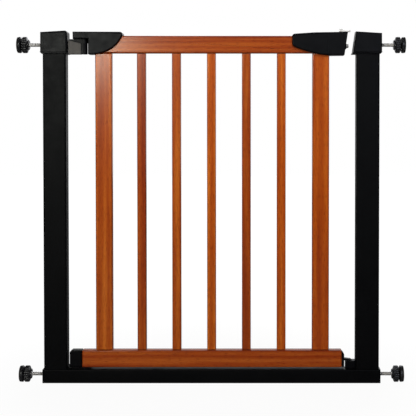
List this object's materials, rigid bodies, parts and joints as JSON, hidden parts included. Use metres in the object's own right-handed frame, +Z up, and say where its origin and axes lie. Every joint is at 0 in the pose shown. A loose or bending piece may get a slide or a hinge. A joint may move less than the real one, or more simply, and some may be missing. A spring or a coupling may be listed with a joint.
{
  "type": "safety gate",
  "caption": "Pressure-fit doorway safety gate: black steel U-frame on screw spindles, with a slatted wooden panel that lifts from a floor catch and swings both ways.",
  "frame": {"origin": "on the floor, at the middle of the frame in X and Y", "axes": "+X runs along the doorway from the hinge side to the latch side, +Y goes through the doorway away from the viewer, +Z is up"},
  "size_m": [0.8336, 0.036, 0.763],
  "materials": {
    "frame_steel": "satin black powder coat",
    "bracket_metal": "satin dark grey coat",
    "black_plastic": "fine-grained moulded black plastic",
    "wheel_plastic": "moulded black plastic",
    "pad_rubber": "matt black rubber",
    "bare_steel": "zinc-plated steel",
    "stained_wood": "cherry stain under satin lacquer"
  },
  "bodies": {
    "frame": {"left_post": "frame_steel", "right_post": "frame_steel", "bottom_rail": "frame_steel", "left_post_cap": "black_plastic", "right_post_cap": "black_plastic", "left_rail_end_cap": "black_plastic", "right_rail_end_cap": "black_plastic", "strike_plate": "bare_steel", "top_hinge_bracket": "bracket_metal", "hinge_bearing": "black_plastic", "bottom_hinge_bracket": "frame_steel", "bottom_pivot_pin": "bare_steel", "bottom_stop": "black_plastic"},
    "lift_pin": {"hinge_pin": "bare_steel"},
    "panel": {"top_wood_rail": "stained_wood", "bottom_wood_rail": "stained_wood", "left_stile": "stained_wood", "right_stile": "stained_wood", "slat_1": "stained_wood", "slat_2": "stained_wood", "slat_3": "stained_wood", "slat_4": "stained_wood", "slat_5": "stained_wood", "hinge_cover_front": "black_plastic", "hinge_cover_rear": "black_plastic", "handle_grip_front": "black_plastic", "handle_grip_rear": "black_plastic", "latch_housing": "black_plastic", "bottom_hinge_shoe": "black_plastic", "bottom_latch_foot": "black_plastic", "hinge_cover_screw_left": "bare_steel", "hinge_cover_screw_right": "bare_steel", "handle_screw_left": "bare_steel", "handle_screw_right": "bare_steel", "release_spring": "bare_steel"},
    "release": {"release_slide": "bare_steel", "latch_carriage": "black_plastic", "latch_bolt": "bare_steel"},
    "upper_left_spindle": {"upper_left_rod": "bare_steel", "upper_left_pad_disc": "wheel_plastic", "upper_left_rubber_pad": "pad_rubber"},
    "upper_left_nut": {"upper_left_wheel_nut": "wheel_plastic"},
    "upper_left_wheel": {"upper_left_hand_wheel": "wheel_plastic"},
    "upper_right_spindle": {"upper_right_rod": "bare_steel", "upper_right_pad_disc": "wheel_plastic", "upper_right_rubber_pad": "pad_rubber"},
    "upper_right_nut": {"upper_right_wheel_nut": "wheel_plastic"},
    "upper_right_wheel": {"upper_right_hand_wheel": "wheel_plastic"},
    "lower_left_spindle": {"lower_left_rod": "bare_steel", "lower_left_pad_disc": "wheel_plastic", "lower_left_rubber_pad": "pad_rubber"},
    "lower_left_nut": {"lower_left_wheel_nut": "wheel_plastic"},
    "lower_left_wheel": {"lower_left_hand_wheel": "wheel_plastic"},
    "lower_right_spindle": {"lower_right_rod": "bare_steel", "lower_right_pad_disc": "wheel_plastic", "lower_right_rubber_pad": "pad_rubber"},
    "lower_right_nut": {"lower_right_wheel_nut": "wheel_plastic"},
    "lower_right_wheel": {"lower_right_hand_wheel": "wheel_plastic"}
  },
  "joints": [
    {"name": "panel_lift", "type": "slide", "parent": "frame", "child": "lift_pin", "axis": [0, 0, 1], "range_m": [0, 0.012]},
    {"name": "panel_swing", "type": "hinge", "parent": "lift_pin", "child": "panel", "pos_m": [-0.273, 0, 0.38], "axis": [0, 0, 1], "range_deg": [-90, 90]},
    {"name": "thumb_release", "type": "slide", "parent": "panel", "child": "release", "axis": [-1, 0, 0], "range_m": [0, 0.009], "stiffness_N_per_m": 400, "deforming": ["release_spring"]},
    {"name": "upper_left_rod_slide", "type": "slide", "parent": "frame", "child": "upper_left_spindle", "axis": [-1, 0, 0], "range_m": [-0.0255, 0.012]},
    {"name": "upper_left_wheel_travel", "type": "slide", "parent": "upper_left_spindle", "child": "upper_left_nut", "axis": [1, 0, 0], "range_m": [0, 0.0255]},
    {"name": "upper_left_wheel_turn", "type": "hinge", "parent": "upper_left_nut", "child": "upper_left_wheel", "pos_m": [-0.4, 0, 0.729], "axis": [1, 0, 0], "range_deg": [0, 7200]},
    {"name": "upper_right_rod_slide", "type": "slide", "parent": "frame", "child": "upper_right_spindle", "axis": [1, 0, 0], "range_m": [-0.0255, 0.012]},
    {"name": "upper_right_wheel_travel", "type": "slide", "parent": "upper_right_spindle", "child": "upper_right_nut", "axis": [-1, 0, 0], "range_m": [0, 0.0255]},
    {"name": "upper_right_wheel_turn", "type": "hinge", "parent": "upper_right_nut", "child": "upper_right_wheel", "pos_m": [0.4, 0, 0.729], "axis": [-1, 0, 0], "range_deg": [0, 7200]},
    {"name": "lower_left_rod_slide", "type": "slide", "parent": "frame", "child": "lower_left_spindle", "axis": [-1, 0, 0], "range_m": [-0.0255, 0.012]},
    {"name": "lower_left_wheel_travel", "type": "slide", "parent": "lower_left_spindle", "child": "lower_left_nut", "axis": [1, 0, 0], "range_m": [0, 0.0255]},
    {"name": "lower_left_wheel_turn", "type": "hinge", "parent": "lower_left_nut", "child": "lower_left_wheel", "pos_m": [-0.3983, 0, 0.0176], "axis": [1, 0, 0], "range_deg": [0, 7200]},
    {"name": "lower_right_rod_slide", "type": "slide", "parent": "frame", "child": "lower_right_spindle", "axis": [1, 0, 0], "range_m": [-0.0255, 0.012]},
    {"name": "lower_right_wheel_travel", "type": "slide", "parent": "lower_right_spindle", "child": "lower_right_nut", "axis": [-1, 0, 0], "range_m": [0, 0.0255]},
    {"name": "lower_right_wheel_turn", "type": "hinge", "parent": "lower_right_nut", "child": "lower_right_wheel", "pos_m": [0.3983, 0, 0.0176], "axis": [-1, 0, 0], "range_deg": [0, 7200]}
  ],
  "couplings": [
    {"joint": "upper_left_wheel_travel", "follows": "upper_left_wheel_turn", "m_per_rad": 0.00019894},
    {"joint": "upper_right_wheel_travel", "follows": "upper_right_wheel_turn", "m_per_rad": 0.00019894},
    {"joint": "lower_left_wheel_travel", "follows": "lower_left_wheel_turn", "m_per_rad": 0.00019894},
    {"joint": "lower_right_wheel_travel", "follows": "lower_right_wheel_turn", "m_per_rad": 0.00019894}
  ]
}
